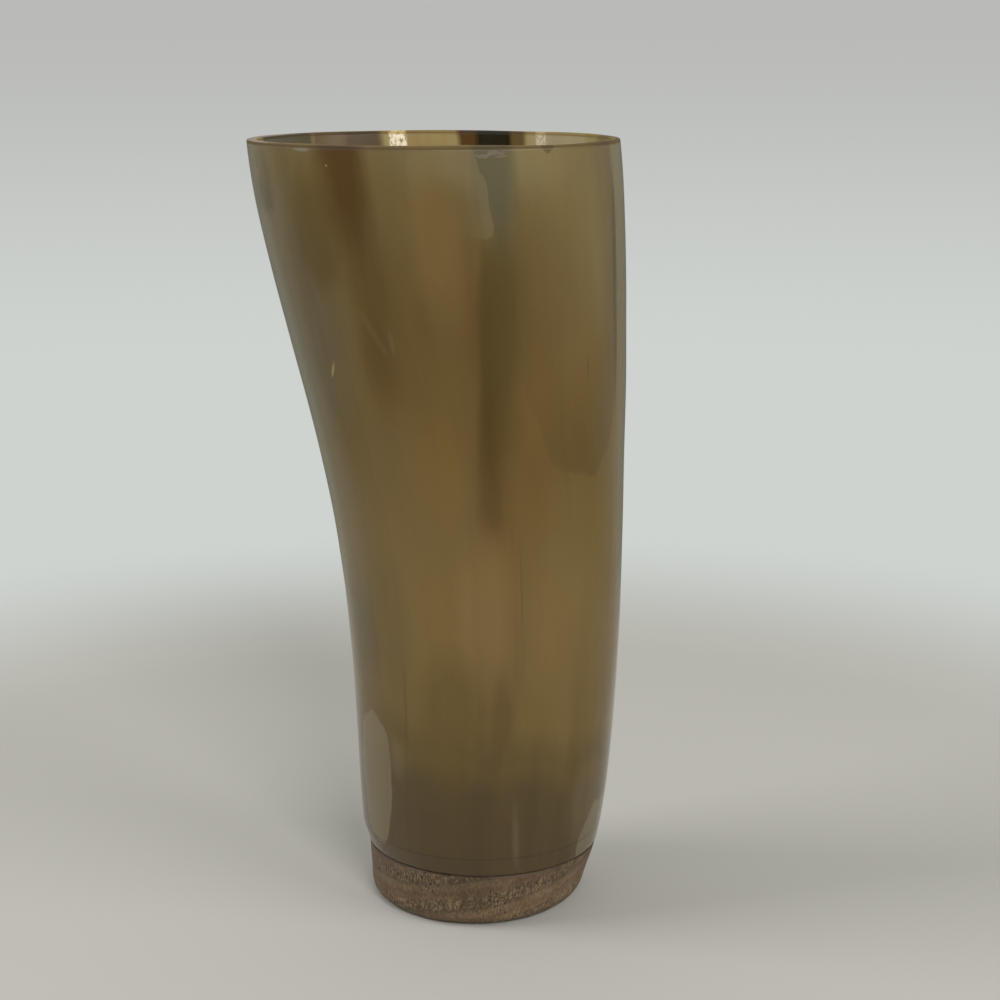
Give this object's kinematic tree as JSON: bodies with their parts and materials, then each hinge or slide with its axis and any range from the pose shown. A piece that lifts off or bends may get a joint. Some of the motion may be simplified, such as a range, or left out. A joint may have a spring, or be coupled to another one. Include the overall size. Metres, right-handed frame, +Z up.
{
  "type": "drinking cup",
  "caption": "Tall horn drinking cup with a leaning, flaring body of polished horn, closed at the narrow end by a glued, turned wooden foot.",
  "frame": {"origin": "centre of the wooden foot's underside", "axes": "+Z up through the mouth; the horn leans towards -X, and -Y is the front"},
  "size_m": [0.0723, 0.068, 0.1514],
  "materials": {
    "horn": "polished translucent horn, olive to amber with darker streaks",
    "wood": "sanded open-grained hardwood, oiled",
    "glue": "cured dark glue",
    "seal": "poured amber food-safe seal"
  },
  "bodies": {
    "root": {"horn_body": "horn", "base_plug": "wood", "glue_joint": "glue", "floor_seal": "seal"}
  },
  "joints": []
}
